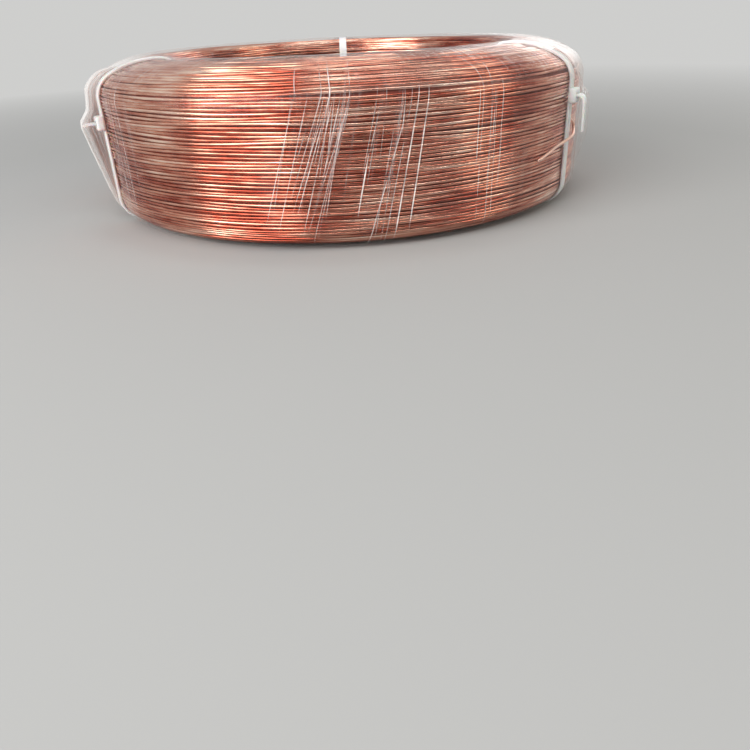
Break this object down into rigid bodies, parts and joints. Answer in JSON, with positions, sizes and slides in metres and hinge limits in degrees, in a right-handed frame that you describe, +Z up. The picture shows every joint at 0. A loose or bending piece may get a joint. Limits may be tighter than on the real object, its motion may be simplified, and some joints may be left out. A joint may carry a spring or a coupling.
{
  "type": "copper tube coil",
  "caption": "Coil of thin copper tube wound to a flat ring with an open bore, bound by cable ties and wrapped in clear stretch film.",
  "frame": {"origin": "on the axis of the bore, in the flat face that the coil rests on", "axes": "+Z up along the axis of the bore; -Y towards the side that the picture shows"},
  "size_m": [0.4047, 0.4098, 0.1184],
  "materials": {
    "copper": null,
    "clear_film": "clear stretch film, glossy and wrinkled",
    "white_nylon": "natural white nylon"
  },
  "bodies": {
    "root": {"tube_coil": "copper", "stretch_film": "clear_film", "cable_tie_left": "white_nylon", "cable_tie_right": "white_nylon", "cable_tie_back": "white_nylon"}
  },
  "joints": []
}
